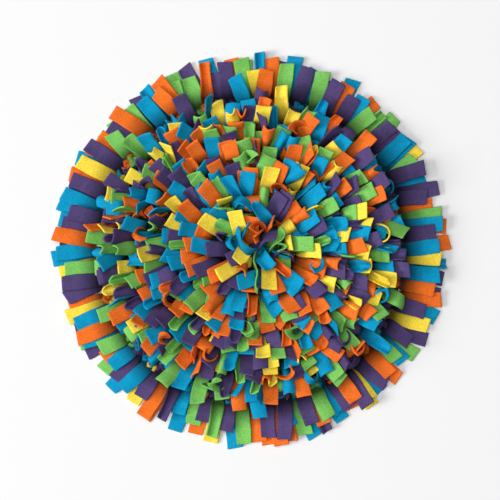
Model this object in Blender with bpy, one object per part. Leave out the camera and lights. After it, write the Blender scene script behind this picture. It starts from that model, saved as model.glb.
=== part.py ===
"""Round snuffle mat: fleece strips tied all over a flat round base cloth.

The base cloth lies on the floor with its centre at the origin. Above it lie ring bands, five to
a rank and one for each fleece colour. Every strip rises from its band, gathered narrow where it
is tied, and opens to its full width as it leans outward. The strips of the rim lie out flat on
the floor in two layers. Run with: blender --background --python part.py
"""

import math
import random
from dataclasses import dataclass

import bmesh
import bpy
from mathutils import Vector
from mathutils.bvhtree import BVHTree

# Driving dimensions, in metres.
BASE_RADIUS = 0.190
BASE_THICKNESS = 0.003
BASE_SIDES = 72
PIECE_GAP = 0.0004
# Room that a strip keeps all round when it is tried against its neighbours.
STRIP_CLEARANCE = 0.00034

STRIP_WIDTH = 0.019
STRIP_THICKNESS = 0.0024
NECK_WIDTH = 0.0072
NECK_TOP_WIDTH = 0.0092

BAND_WIDTH = STRIP_THICKNESS
BAND_HEIGHT = 0.0024
BAND_STEP = 0.005
# How far a band's straight stretches may fall inside its true circle.
BAND_SAG = 0.0019
BAND_BOTTOM = BASE_THICKNESS + PIECE_GAP
BAND_TOP = BAND_BOTTOM + BAND_HEIGHT

RIM_BAND_RADIUS = BASE_RADIUS - 0.0015
RIM_LAYER_GAP = 0.0011
RIM_LAYER_STEP = {"under": 0.0, "over": STRIP_THICKNESS + RIM_LAYER_GAP}
RIM_NECK_RISE = 0.0017
RIM_BEND_RUN = 0.4
RIM_NECK_END = 0.193
RIM_FLARE_END = 0.205
RIM_UNDER_TIP = (0.243, 0.2495)
RIM_OVER_TIP = (0.233, 0.244)
RIM_OVER_LIFT = 0.006
RIM_YAW = math.radians(3.0)

TRIES = 60
SEED = 12

# Fleece colours: linear base colour and share of the seeded strips.
FLEECE = {
    "blue": ((0.000, 0.270, 0.480), 27),
    "purple": ((0.062, 0.040, 0.120), 25),
    "orange": ((0.800, 0.130, 0.015), 20),
    "green": ((0.120, 0.430, 0.060), 18),
    "yellow": ((0.860, 0.600, 0.030), 10),
}
FLEECE_ROUGHNESS = 0.95
BASE_COLOUR = (0.030, 0.030, 0.035)

LETTERS = {name[0].upper(): name for name in FLEECE}
# The rim's upper layer, one letter a strip, clockwise from the far side.
RIM_OVER_CHART = "BOGPGOBGPBGBPOBYBOPYPYPBYBPGBPGPOPBOPBPGBPYPGBOPBPYPGOBOYPOP"


@dataclass(frozen=True)
class Rank:
    """One ring of upright strips: where it is tied and how it leans."""

    name: str
    outer_radius: float
    count: int
    lean_deg: float
    length: float


# Lean is measured from level.
RANKS = (
    Rank("rank2", 0.1620, 50, 25.0, 0.055),
    Rank("rank3", 0.1335, 43, 32.0, 0.055),
    Rank("rank4", 0.1050, 34, 39.0, 0.054),
    Rank("rank5", 0.0765, 25, 46.0, 0.053),
    Rank("rank6", 0.0480, 16, 54.0, 0.052),
    Rank("centre", 0.0190, 8, 64.0, 0.050),
)
CENTRE_COLOURS = ("orange", "blue", "yellow")
LEAN_SPREAD_DEG = 9.0
YAW_SPREAD_DEG = 24.0
TWIST_SPREAD_DEG = 26.0
CURL_SPREAD_DEG = 22.0
LENGTH_SPREAD = 0.16
SLOT_SPREAD = 0.12
NECK_RISE = 0.004
# Each section above the neck: its share of the strip's length, and its width.
SECTIONS = ((0.0, NECK_TOP_WIDTH), (0.2, STRIP_WIDTH), (0.6, STRIP_WIDTH), (1.0, STRIP_WIDTH))


UP = Vector((0.0, 0.0, 1.0))


def clear_scene():
    """Remove the objects that the file opens with."""
    for obj in list(bpy.data.objects):
        bpy.data.objects.remove(obj, do_unlink=True)


def new_collection(name):
    """Return a new collection linked to the scene."""
    collection = bpy.data.collections.new(name)
    bpy.context.scene.collection.children.link(collection)
    return collection


def cloth_material(name, colour):
    """Return a matt cloth material of one colour."""
    material = bpy.data.materials.new(name)
    material.use_nodes = True
    shader = material.node_tree.nodes["Principled BSDF"]
    shader.inputs["Base Color"].default_value = (*colour, 1.0)
    shader.inputs["Roughness"].default_value = FLEECE_ROUGHNESS
    shader.inputs["Metallic"].default_value = 0.0
    return material


def section(centre, width_axis, thick_axis, width, thickness):
    """Return the four corners of a strip's cross-section."""
    half_w = width_axis * (width / 2)
    half_t = thick_axis * (thickness / 2)
    return [centre - half_w - half_t, centre + half_w - half_t,
            centre + half_w + half_t, centre - half_w + half_t]


def polar(radius, angle, height=0.0):
    """Return the point at a radius and an angle clockwise from +Y."""
    return Vector((radius * math.sin(angle), radius * math.cos(angle), height))


@dataclass(frozen=True)
class Pose:
    """How one upright strip stands: its angles in radians and its length."""

    lean: float
    yaw: float
    twist: float
    curl: float
    length: float


def leaning_sections(root_radius, angle, pose, fatten=0.0):
    """Return the cross-sections of an upright strip, from its band to its cut end."""
    outward = polar(1.0, angle)
    around = polar(1.0, angle + math.pi / 2)
    heading = outward * math.cos(pose.yaw) + around * math.sin(pose.yaw)
    side = around * math.cos(pose.yaw) - outward * math.sin(pose.yaw)
    thickness = STRIP_THICKNESS + 2 * fatten
    point = polar(root_radius, angle, BAND_TOP)
    rows = [section(point, around, -outward, NECK_WIDTH + 2 * fatten, thickness)]
    point = point + UP * NECK_RISE
    previous = 0.0
    for share, width in SECTIONS:
        tilt = pose.lean - pose.curl * share
        direction = heading * math.cos(tilt) + UP * math.sin(tilt)
        point = point + direction * (pose.length * (share - previous))
        previous = share
        # The neck stands upright, so the mitre at its top faces halfway to the lean.
        facing = tilt if share else (tilt + math.pi / 2) / 2
        normal = UP * math.cos(facing) - heading * math.sin(facing)
        turn = pose.twist * share
        width_axis = side * math.cos(turn) + normal * math.sin(turn)
        thick_axis = normal * math.cos(turn) - side * math.sin(turn)
        rows.append(section(point, width_axis, thick_axis, width + 2 * fatten, thickness))
    return rows


def rim_sections(root_radius, angle, layer, yaw, tip_radius, lift, fatten=0.0):
    """Return the cross-sections of a rim strip, over its band and down to lie on the floor."""
    outward = polar(1.0, angle)
    around = polar(1.0, angle + math.pi / 2)
    thickness = STRIP_THICKNESS + 2 * fatten
    rise = RIM_NECK_RISE + RIM_LAYER_STEP[layer]
    crest = BAND_TOP + rise
    resting = STRIP_THICKNESS / 2 + RIM_LAYER_STEP[layer]
    neck = NECK_WIDTH + 2 * fatten
    full = STRIP_WIDTH + 2 * fatten
    root = polar(root_radius, angle, BAND_TOP)
    bend = polar(root_radius + RIM_BEND_RUN * rise, angle, crest)
    slant = (UP - outward).normalized()
    heading = outward * math.cos(yaw) + around * math.sin(yaw)
    side = around * math.cos(yaw) - outward * math.sin(yaw)
    neck_end = polar(RIM_NECK_END, angle, crest)
    flare = polar(RIM_FLARE_END, angle, resting)
    tip = flare + heading * (tip_radius - RIM_FLARE_END) + UP * lift
    return [section(root, around, -outward, neck, thickness),
            section(bend, around, slant, neck, thickness),
            section(neck_end, around, UP, neck, thickness),
            section(flare, side, UP, full, thickness),
            section(tip, side, UP, full, thickness)]


def rows_to_tree(rows):
    """Return a search tree of a strip's surface, for the clearance test."""
    points = [corner for row in rows for corner in row]
    faces = [(0, 3, 2, 1)]
    for row in range(len(rows) - 1):
        first = 4 * row
        for corner in range(4):
            following = (corner + 1) % 4
            faces.append((first + corner, first + following, first + 4 + following, first + 4 + corner))
    last = 4 * (len(rows) - 1)
    faces.append((last, last + 1, last + 2, last + 3))
    return BVHTree.FromPolygons(points, faces, epsilon=0.0)


class Pile:
    """The strips placed so far, each clear of the others."""

    def __init__(self):
        self.trees = []
        self.rooted = {}

    def place(self, band, angle, draw_trial):
        """Add a strip to a band at the first trial that clears every other strip."""
        for trial in range(TRIES):
            ease = 1.0 - trial / TRIES
            rows, fat_rows = draw_trial(ease)
            fat = rows_to_tree(fat_rows)
            if any(fat.overlap(tree) for tree in self.trees):
                continue
            self.trees.append(rows_to_tree(rows))
            self.rooted.setdefault(band, []).append((angle, rows))
            return
        print("no room for a strip on", band)


def band_radii(outer_radius, colours):
    """Return each colour's band radius in a rank."""
    return {colour: outer_radius - BAND_STEP * order for order, colour in enumerate(colours)}


def lay_rim(pile, rng):
    """Place the rim's two layers of strips."""
    count = len(RIM_OVER_CHART)
    colours = list(FLEECE)
    radii = band_radii(RIM_BAND_RADIUS, colours)
    weights = [FLEECE[name][1] for name in colours]
    pitch = 2 * math.pi / count
    for layer in ("under", "over"):
        for slot in range(count):
            if layer == "under":
                colour = rng.choices(colours, weights)[0]
                tips = RIM_UNDER_TIP
                angle = (slot + 0.5) * pitch
            else:
                colour = LETTERS[RIM_OVER_CHART[slot]]
                tips = RIM_OVER_TIP
                angle = slot * pitch

            def draw_trial(ease, radius=radii[colour], at=angle, which=layer, reach=tips):
                yaw = rng.uniform(-RIM_YAW, RIM_YAW) * ease
                tip = rng.uniform(*reach)
                lift = rng.uniform(0.0, RIM_OVER_LIFT) if which == "over" else 0.0
                values = (radius, at, which, yaw, tip, lift)
                return rim_sections(*values), rim_sections(*values, STRIP_CLEARANCE)

            pile.place(("rim", colour, radii[colour]), angle, draw_trial)


def lay_rank(pile, rank, rng):
    """Place one rank of upright strips."""
    colours = list(CENTRE_COLOURS) if rank.name == "centre" else list(FLEECE)
    rng.shuffle(colours)
    radii = band_radii(rank.outer_radius, colours)
    weights = [FLEECE[name][1] for name in colours]
    last = None
    for slot in range(rank.count):
        colour = rng.choices(colours, weights)[0]
        while colour == last:
            colour = rng.choices(colours, weights)[0]
        last = colour
        angle = (slot + rng.uniform(-SLOT_SPREAD, SLOT_SPREAD)) * 2 * math.pi / rank.count

        def draw_trial(ease, radius=radii[colour], at=angle):
            pose = Pose(lean=math.radians(rank.lean_deg + rng.uniform(-1, 1) * LEAN_SPREAD_DEG * ease),
                        yaw=math.radians(rng.uniform(-1, 1) * YAW_SPREAD_DEG * ease),
                        twist=math.radians(rng.uniform(-1, 1) * TWIST_SPREAD_DEG * ease),
                        curl=math.radians(rng.uniform(-0.6, 1) * CURL_SPREAD_DEG * ease),
                        length=rank.length * (1 + rng.uniform(-1, 1) * LENGTH_SPREAD))
            rows = leaning_sections(radius, at, pose)
            return rows, leaning_sections(radius, at, pose, STRIP_CLEARANCE)

        pile.place((rank.name, colour, radii[colour]), angle, draw_trial)


def band_stations(radius, strips):
    """Return the band's corner angles, with the strips' roots marked."""
    half = math.asin(NECK_WIDTH / 2 / radius)
    longest = 2 * math.acos(1 - BAND_SAG / radius)
    ordered = sorted(strips, key=lambda item: item[0])
    stations = []
    for index, (angle, rows) in enumerate(ordered):
        stations.append((angle - half, rows))
        stations.append((angle + half, None))
        following = ordered[(index + 1) % len(ordered)][0]
        if index + 1 == len(ordered):
            following += 2 * math.pi
        span = following - angle - 2 * half
        parts = max(1, math.ceil(span / longest))
        for part in range(1, parts):
            stations.append((angle + half + span * part / parts, None))
    return stations


def band_mesh(name, radius, strips):
    """Return a ring band with its strips drawn up out of its top face."""
    bm = bmesh.new()
    stations = band_stations(radius, strips)
    half = BAND_WIDTH / 2
    rings = []
    for angle, _rows in stations:
        corners = ((radius - half, BAND_BOTTOM), (radius + half, BAND_BOTTOM),
                   (radius + half, BAND_TOP), (radius - half, BAND_TOP))
        rings.append([bm.verts.new(polar(r, angle, z)) for r, z in corners])
    roots = []
    for index, (_angle, rows) in enumerate(stations):
        here = rings[index]
        there = rings[(index + 1) % len(rings)]
        for side in range(4):
            after = (side + 1) % 4
            face = bm.faces.new((here[side], there[side], there[after], here[after]))
            if side == 2 and rows is not None:
                roots.append((face, rows))
    for face, rows in roots:
        draw_strip(bm, face, rows)
    bmesh.ops.recalc_face_normals(bm, faces=bm.faces)
    mesh = bpy.data.meshes.new(name)
    bm.to_mesh(mesh)
    bm.free()
    return mesh


def draw_strip(bm, face, rows):
    """Extrude a root face along the strip's cross-sections."""
    first = rows[0]
    corner_of = {vert: min(range(4), key=lambda k: (first[k] - vert.co).length) for vert in face.verts}
    for row in rows[1:]:
        before = list(face.verts)
        face = bmesh.ops.extrude_discrete_faces(bm, faces=[face])["faces"][0]
        # The new face keeps the order of the old one's corners.
        pairs = {}
        for vert in face.verts:
            source = min(before, key=lambda old: (old.co - vert.co).length)
            pairs[vert] = corner_of[source]
        for vert, corner in pairs.items():
            vert.co = row[corner]
        corner_of = pairs


def add_object(collection, name, mesh, material):
    """Add a mesh object with its material."""
    obj = bpy.data.objects.new(name, mesh)
    obj.data.materials.append(material)
    collection.objects.link(obj)
    return obj


def add_base(collection):
    """Add the round base cloth, lying on the floor."""
    bpy.ops.mesh.primitive_cylinder_add(
        vertices=BASE_SIDES, radius=BASE_RADIUS, depth=BASE_THICKNESS,
        location=(0.0, 0.0, BASE_THICKNESS / 2))
    base = bpy.context.object
    base.name = "base_cloth"
    base.data.materials.append(cloth_material("base_cloth", BASE_COLOUR))
    for holder in list(base.users_collection):
        holder.objects.unlink(base)
    collection.objects.link(base)


def main():
    """Build the mat."""
    clear_scene()
    collection = new_collection("snuffle_mat")
    add_base(collection)
    rng = random.Random(SEED)
    pile = Pile()
    lay_rim(pile, rng)
    for rank in RANKS:
        lay_rank(pile, rank, rng)
    total = 0
    for (rank_name, colour, radius), strips in pile.rooted.items():
        name = f"{rank_name}_{colour}"
        mesh = band_mesh(name, radius, strips)
        add_object(collection, name, mesh, cloth_material(name, FLEECE[colour][0]))
        total += len(strips)
    print("strips:", total)


main()
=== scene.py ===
"""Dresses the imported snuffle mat: knotted fleece strips in a dense pile on a round base cloth."""

from __future__ import annotations

import logging
import math
import random
import re
from dataclasses import dataclass, field, replace
from enum import Enum
from typing import Iterable, Sequence

import bpy
import numpy as np
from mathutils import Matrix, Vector
from mathutils.bvhtree import BVHTree

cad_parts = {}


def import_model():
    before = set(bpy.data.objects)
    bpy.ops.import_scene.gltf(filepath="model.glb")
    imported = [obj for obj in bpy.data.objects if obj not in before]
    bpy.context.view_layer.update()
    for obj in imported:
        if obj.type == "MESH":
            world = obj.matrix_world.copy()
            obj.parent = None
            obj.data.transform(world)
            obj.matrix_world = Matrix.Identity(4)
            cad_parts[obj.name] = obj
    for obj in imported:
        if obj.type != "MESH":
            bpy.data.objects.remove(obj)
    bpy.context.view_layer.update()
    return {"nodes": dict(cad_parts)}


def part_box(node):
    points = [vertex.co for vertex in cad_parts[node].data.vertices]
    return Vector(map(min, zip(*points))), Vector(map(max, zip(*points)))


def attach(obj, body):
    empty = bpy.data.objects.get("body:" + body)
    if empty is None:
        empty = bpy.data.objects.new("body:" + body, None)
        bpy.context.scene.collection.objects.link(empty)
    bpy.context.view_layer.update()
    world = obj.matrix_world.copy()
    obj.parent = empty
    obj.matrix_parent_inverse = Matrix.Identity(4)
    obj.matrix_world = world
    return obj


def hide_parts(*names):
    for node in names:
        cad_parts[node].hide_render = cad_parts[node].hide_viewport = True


LOG = logging.getLogger("snuffle_mat")
BODY = "root"
MM = 0.001
UP = np.array((0.0, 0.0, 1.0))
BLACK = (0.0, 0.0, 0.0, 1.0)
Socket = bpy.types.NodeSocket


class Fleece(Enum):
    """The five cloths that the strips are cut from."""

    BLUE = "blue"
    PURPLE = "purple"
    ORANGE = "orange"
    GREEN = "green"
    YELLOW = "yellow"

    @classmethod
    def from_letter(cls, letter: str) -> "Fleece":
        """Return the cloth whose name starts with a chart letter."""
        return next(cloth for cloth in cls if cloth.value[0].upper() == letter)


def smooth(value: np.ndarray | float) -> np.ndarray:
    """Return 0 to 1 eased at both ends."""
    held = np.clip(value, 0.0, 1.0)
    return held * held * (3.0 - 2.0 * held)


def plan_point(radius: float, bearing: float, height: float = 0.0) -> np.ndarray:
    """Return the point at a radius and a bearing clockwise from +Y.

    Args:
        radius: Distance from the mat's centre, in metres.
        bearing: Angle clockwise from the far side, in radians.
        height: Height over the floor, in metres.

    Returns:
        The point as three numbers.
    """
    return np.array((radius * math.sin(bearing), radius * math.cos(bearing), height))


class NodeSheet:
    """Short calls for building a node tree in code."""

    def __init__(self, tree: bpy.types.NodeTree) -> None:
        """Keep the tree that the calls add to."""
        self.tree = tree

    def feed(self, node: bpy.types.Node, inputs: dict) -> bpy.types.Node:
        """Feed a node's inputs and return the node.

        Args:
            node: The node.
            inputs: Socket name or number to a value or to another node's output socket.

        Returns:
            The same node.
        """
        for key, value in inputs.items():
            if isinstance(value, bpy.types.NodeSocket):
                self.tree.links.new(value, node.inputs[key])
            else:
                node.inputs[key].default_value = value
        return node

    def add(self, kind: str, inputs: dict | None = None, **settings: object) -> bpy.types.Node:
        """Add a node, set its options, and feed its inputs.

        Args:
            kind: The node's type name.
            inputs: The inputs, as feed takes them.
            **settings: Node properties to set before the inputs.

        Returns:
            The new node.
        """
        node = self.tree.nodes.new(kind)
        for name, value in settings.items():
            setattr(node, name, value)
        return self.feed(node, inputs or {})

    def take(self, kind: str, inputs: dict | None = None, **settings: object) -> Socket:
        """Add a node and return its first output."""
        return self.add(kind, inputs, **settings).outputs[0]

    def math(self, operation: str, *values: object) -> Socket:
        """Add a Math node and return its output."""
        return self.take("ShaderNodeMath", dict(enumerate(values)), operation=operation)

    def plus(self, first: object, second: object) -> Socket:
        """Return the sum of two numbers."""
        return self.math("ADD", first, second)

    def less(self, first: object, second: object) -> Socket:
        """Return the first number less the second."""
        return self.math("SUBTRACT", first, second)

    def times(self, first: object, second: object) -> Socket:
        """Return the product of two numbers."""
        return self.math("MULTIPLY", first, second)

    def joined(self, first: object, second: object) -> Socket:
        """Return the sum of two vectors."""
        return self.take("ShaderNodeVectorMath", {0: first, 1: second}, operation="ADD")

    def scaled(self, direction: Socket, amount: object) -> Socket:
        """Return a vector scaled by a number."""
        inputs = {0: direction, "Scale": amount}
        return self.take("ShaderNodeVectorMath", inputs, operation="SCALE")

    def noise(self, place: Socket, **inputs: object) -> Socket:
        """Add a Noise Texture node and return its value."""
        return self.add("ShaderNodeTexNoise", {"Vector": place, **inputs}).outputs["Fac"]

    def mapped(self, value: Socket, band: tuple[float, float], low: float = 0.0) -> Socket:
        """Return a value mapped from a band to low to 1."""
        return self.take("ShaderNodeMapRange", {
            "Value": value, "From Min": band[0], "From Max": band[1], "To Min": low})

    def mixed(self, amount: Socket, first: object, second: object) -> Socket:
        """Return a colour mixed from two."""
        return self.add("ShaderNodeMix", {"Factor": amount, "A": first, "B": second},
                        data_type="RGBA").outputs["Result"]

    def ramp(self, value: Socket, band: tuple[float, float], colours: tuple) -> Socket:
        """Return the colour of a ramp with one stop at each end of a band.

        Args:
            value: What the ramp reads.
            band: Where its two stops are.
            colours: The stops' colours.

        Returns:
            The colour output.
        """
        node = self.add("ShaderNodeValToRGB", {"Fac": value})
        for stop, position, colour in zip(node.color_ramp.elements, band, colours):
            stop.position = position
            stop.color = colour
        return node.outputs["Color"]

    def bump(self, height: Socket, strength: float, distance: float) -> Socket:
        """Return the normal of a Bump node."""
        return self.take("ShaderNodeBump", {
            "Height": height, "Strength": strength, "Distance": distance})

    def attribute(self, name: str) -> Socket:
        """Return a stored number in a material."""
        return self.add("ShaderNodeAttribute", attribute_name=name).outputs["Fac"]

    def stored(self, name: str, kind: str = "FLOAT") -> Socket:
        """Return a stored number or vector in a geometry tree."""
        return self.add("GeometryNodeInputNamedAttribute", {"Name": name},
                        data_type=kind).outputs["Attribute"]

    def moved(self, geometry: Socket, **inputs: Socket) -> Socket:
        """Return a geometry with its points set to a Position or moved by an Offset."""
        return self.take("GeometryNodeSetPosition", {"Geometry": geometry, **inputs})

    def finish(self, geometry: Socket, material: Socket) -> None:
        """Set a geometry's material and give it to the tree's output."""
        self.add("NodeGroupOutput", {"Geometry": self.take("GeometryNodeSetMaterial", {
            "Geometry": geometry, "Material": material})})


def new_material(name: str) -> tuple[bpy.types.Material, NodeSheet, bpy.types.Node]:
    """Return a new material with its sheet and its shader."""
    material = bpy.data.materials.new(name)
    material.use_nodes = True
    return material, NodeSheet(material.node_tree), material.node_tree.nodes["Principled BSDF"]


# ---- Finishes ----


@dataclass(frozen=True)
class FleeceFinish:
    """Napped fleece: heathered colour, dotted cut edges, and painted shade that darkens each strip
    towards its knot.
    """

    cloth: Fleece
    colour: tuple[float, float, float]
    shade: float = 0.68
    glow: float = 1.1
    heather_band: tuple[float, float] = (0.36, 0.64)
    fibre_scale: float = 720.0
    fibre_share: float = 0.82
    blotch_scale: float = 140.0
    blotch_share: float = 0.18
    edge_band: tuple[float, float] = (0.93, 1.0)
    edge_shade: float = 0.45
    edge_share: float = 0.55
    speck_scale: float = 700.0
    speck_band: tuple[float, float] = (0.42, 0.58)
    # Painted shade near the knots: the colour falls to this share below the band along the strip,
    # and comes back to full over the band.
    painted_shade_darkest: float = 0.1
    painted_shade_band: tuple[float, float] = (0.22, 0.67)
    bump_strength: float = 0.55
    bump_depth: float = 0.0011
    roughness: float = 0.92
    specular: float = 0.08
    sheen: float = 0.05
    sheen_roughness: float = 0.55
    sheen_tint: float = 1.3

    @property
    def slot(self) -> str:
        """Return the name of the cloth's material slot."""
        return f"fleece_{self.cloth.value}"

    def tone(self, factor: float) -> tuple[float, float, float, float]:
        """Return the colour made darker or lighter by a factor."""
        return (*(min(1.0, channel * factor) for channel in self.colour), 1.0)

    def material(self) -> bpy.types.Material:
        """Return the cloth's material, made on the first call."""
        name = f"{self.cloth.value}_fleece"
        if name in bpy.data.materials:
            return bpy.data.materials[name]
        material, sheet, shader = new_material(name)
        place = sheet.add("ShaderNodeTexCoord").outputs["Object"]
        fibre = sheet.noise(place, Scale=self.fibre_scale, Detail=3.0, Roughness=0.7)
        blotch = sheet.noise(place, Scale=self.blotch_scale, Detail=2.0)
        heather = sheet.plus(sheet.times(fibre, self.fibre_share),
                             sheet.times(blotch, self.blotch_share))
        tones = (self.tone(self.shade), self.tone(self.glow))
        cloth = sheet.ramp(heather, self.heather_band, tones)
        edge = sheet.mapped(sheet.math("ABSOLUTE", sheet.attribute("across")), self.edge_band)
        speck = sheet.noise(place, Scale=self.speck_scale, Detail=1.0)
        specks = sheet.mapped(speck, self.speck_band)
        dotted = sheet.times(edge, sheet.times(specks, self.edge_share))
        trimmed = sheet.mixed(dotted, cloth, self.tone(self.edge_shade))
        # Painted shade: the colour darkens towards each strip's knot, where the pile's crevices lie
        # in shade.
        painted_shade = sheet.mapped(sheet.attribute("along"), self.painted_shade_band, self.painted_shade_darkest)
        sheet.feed(shader, {
            "Base Color": sheet.mixed(painted_shade, BLACK, trimmed),
            "Normal": sheet.bump(heather, self.bump_strength, self.bump_depth),
            "Roughness": self.roughness, "Specular IOR Level": self.specular,
            "Sheen Weight": self.sheen, "Sheen Roughness": self.sheen_roughness,
            "Sheen Tint": self.tone(self.sheen_tint)})
        return material


FINISHES = {finish.cloth: finish for finish in (
    FleeceFinish(Fleece.BLUE, (0.004, 0.292, 0.522)),
    FleeceFinish(Fleece.PURPLE, (0.080, 0.054, 0.158), glow=1.16),
    FleeceFinish(Fleece.ORANGE, (0.840, 0.163, 0.021)),
    FleeceFinish(Fleece.GREEN, (0.185, 0.510, 0.108)),
    FleeceFinish(Fleece.YELLOW, (0.980, 0.700, 0.065)),
)}


@dataclass(frozen=True)
class FeltFinish:
    """Dark needled felt of the base cloth."""

    colour: tuple[float, float, float] = (0.020, 0.020, 0.024)
    lint: float = 3.5
    hair_scale: float = 520.0
    bump_strength: float = 0.6
    bump_depth: float = 0.0012
    roughness: float = 0.95
    sheen: float = 0.2

    def material(self) -> bpy.types.Material:
        """Return the felt's material."""
        material, sheet, shader = new_material("base_cloth_felt")
        place = sheet.add("ShaderNodeTexCoord").outputs["Object"]
        hair = sheet.noise(place, Scale=self.hair_scale, Detail=4.0, Distortion=1.2)
        pale = tuple(self.lint * channel for channel in self.colour)
        sheet.feed(shader, {
            "Base Color": sheet.ramp(hair, (0.0, 1.0), ((*self.colour, 1.0), (*pale, 1.0))),
            "Normal": sheet.bump(hair, self.bump_strength, self.bump_depth),
            "Roughness": self.roughness, "Sheen Weight": self.sheen})
        return material


# ---- One fleece strip's free end ----


@dataclass(frozen=True)
class StripCut:
    """The cut of every strip, in metres."""

    width: float = 19.4 * MM
    thickness: float = 2.2 * MM
    neck_width: float = 9.0 * MM
    gather_run: float = 13.0 * MM
    pleat_depth: float = 1.8 * MM
    pleat_run: float = 20.0 * MM
    full_fold: float = 9.0 * MM
    fold_narrowing: float = 0.46
    waver: float = 0.05
    waver_run: float = 6.0 * MM
    ruffle_run: float = 4.4 * MM
    sway_run: float = 4.2 * MM
    knot_height: float = 9.0 * MM

    @property
    def tie_height(self) -> float:
        """Return the height at which a strip leaves its knot."""
        return self.knot_height - 1.5 * MM


CUT = StripCut()
# Where the stations lie along a strip's free end, closer at its neck and at its cut.
SHARES = np.array((0.0, 0.07, 0.15, 0.26, 0.39, 0.53, 0.67, 0.81, 0.955, 1.0))
COLUMNS = np.array((-1.0, 0.0, 1.0))


@dataclass
class Ribbon:
    """A strip's stations: its centre line, and its width and thickness directions."""

    centre: np.ndarray
    side: np.ndarray
    rise: np.ndarray
    half: np.ndarray
    fold: np.ndarray
    phase: float = 0.0
    slant: float = 0.0

    def surface(self, grow: float, first: int = 0, slim: float = 0.94) -> tuple[list, list]:
        """Return a coarse closed skin of the strip for the clearance test.

        Args:
            grow: Room added all round, in metres.
            first: The first station that counts.
            slim: The share of the strip's width that counts.

        Returns:
            The points and the quads.
        """
        thick = CUT.thickness / 2 + grow
        half = (slim * self.half[first:, None, None] + grow) * COLUMNS[None, :, None]
        lift = self.fold[first:, None, None] * (COLUMNS[None, :, None] ** 2 - 0.5)
        middle = self.centre[first:, None, :] + self.side[first:, None, :] * half
        middle = middle + self.rise[first:, None, :] * lift
        shift = self.rise[first:, None, :] * thick
        ring = np.concatenate((middle + shift, (middle - shift)[:, ::-1, :]), axis=1)
        rows, sides = ring.shape[0], ring.shape[1]
        points = ring.reshape(-1, 3).tolist()
        quads = []
        for row in range(rows - 1):
            here = row * sides
            for column in range(sides):
                after = (column + 1) % sides
                quads.append((here + column, here + after,
                              here + sides + after, here + sides + column))
        last = (rows - 1) * sides
        quads.append((last, last + 1, last + 4, last + 5))
        quads.append((last + 1, last + 2, last + 3, last + 4))
        return points, quads


def ribbon_along(centre: np.ndarray, headings: np.ndarray, roll: np.ndarray,
                 fold: np.ndarray, phase: float, ruffle: float = 0.0,
                 gather_run: float = CUT.gather_run) -> Ribbon:
    """Return a ribbon on a centre line.

    Args:
        centre: The stations' points.
        headings: Each station's compass heading, in radians clockwise from +Y.
        roll: Each station's turn about the centre line, in radians.
        fold: How deep the strip is guttered at each station, in metres.
        phase: Where the neck's pleats fall.
        ruffle: How far the strip waves up and down along its length, in metres.
        gather_run: How far from its knot the strip opens out to its full width, in metres.

    Returns:
        The ribbon, gathered at its first station.
    """
    tangent = np.gradient(centre, axis=0)
    tangent /= np.linalg.norm(tangent, axis=1)[:, None]
    level = np.stack((np.cos(headings), -np.sin(headings), np.zeros_like(headings)), axis=1)
    level -= tangent * np.sum(level * tangent, axis=1)[:, None]
    level /= np.linalg.norm(level, axis=1)[:, None]
    over = np.cross(level, tangent)
    turn = np.cos(roll)[:, None]
    swing = np.sin(roll)[:, None]
    side = level * turn + over * swing
    rise = over * turn - level * swing
    run = np.concatenate(((0.0,), np.cumsum(np.linalg.norm(np.diff(centre, axis=0), axis=1))))
    gathered = smooth(run / gather_run)
    half = (CUT.neck_width + (CUT.width - CUT.neck_width) * gathered) / 2
    folded = np.minimum(1.0, np.abs(fold) / CUT.full_fold)
    half = half * (1.0 - CUT.fold_narrowing * folded ** 2)
    half = half * (1.0 + CUT.waver * np.sin(1.7 * phase + run / CUT.waver_run))
    wave = ruffle * np.sin(phase + run / CUT.ruffle_run) * smooth(run / CUT.pleat_run)
    return Ribbon(centre + rise * wave[:, None], side, rise, half, fold, phase)


@dataclass(frozen=True)
class Stance:
    """How one upright end stands: angles in radians, lengths in metres."""

    root: np.ndarray
    heading: float
    lean: float
    curl: float
    hook: float
    drift: float
    roll: float
    twist: float
    fold: float
    ruffle: float
    length: float
    phase: float
    slant: float
    bend_run: float
    stem: float
    sway: float
    start: float = math.radians(88.0)
    gather_run: float = 25.0 * MM

    def ribbon(self) -> Ribbon:
        """Return the ribbon: up out of its knot, then over to its lean."""
        run = SHARES * self.length
        leans = self.start + (self.lean - self.start) * smooth((run - self.stem) / self.bend_run)
        leans = leans - self.curl * SHARES ** 2 - self.hook * smooth((SHARES - 0.5) / 0.4)
        leans = leans + self.sway * np.sin(self.phase + run / CUT.sway_run) * smooth(SHARES * 3.0)
        headings = self.heading + self.drift * SHARES ** 2
        flat = np.cos(leans)
        steps = np.stack((flat * np.sin(headings), flat * np.cos(headings), np.sin(leans)), axis=1)
        middle = (steps[1:] + steps[:-1]) / 2
        middle /= np.linalg.norm(middle, axis=1)[:, None]
        centre = np.concatenate((
            np.zeros((1, 3)), np.cumsum(middle * np.diff(run)[:, None], axis=0)))
        roll = self.roll * smooth(SHARES * 3.0) + self.twist * SHARES
        fold = self.fold * smooth(SHARES * 2.0) * (1.0 + 0.35 * np.sin(self.phase + 5.0 * SHARES))
        ribbon = ribbon_along(centre + self.root, headings, roll, fold, self.phase, self.ruffle,
                              self.gather_run)
        ribbon.slant = self.slant
        return ribbon


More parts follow.
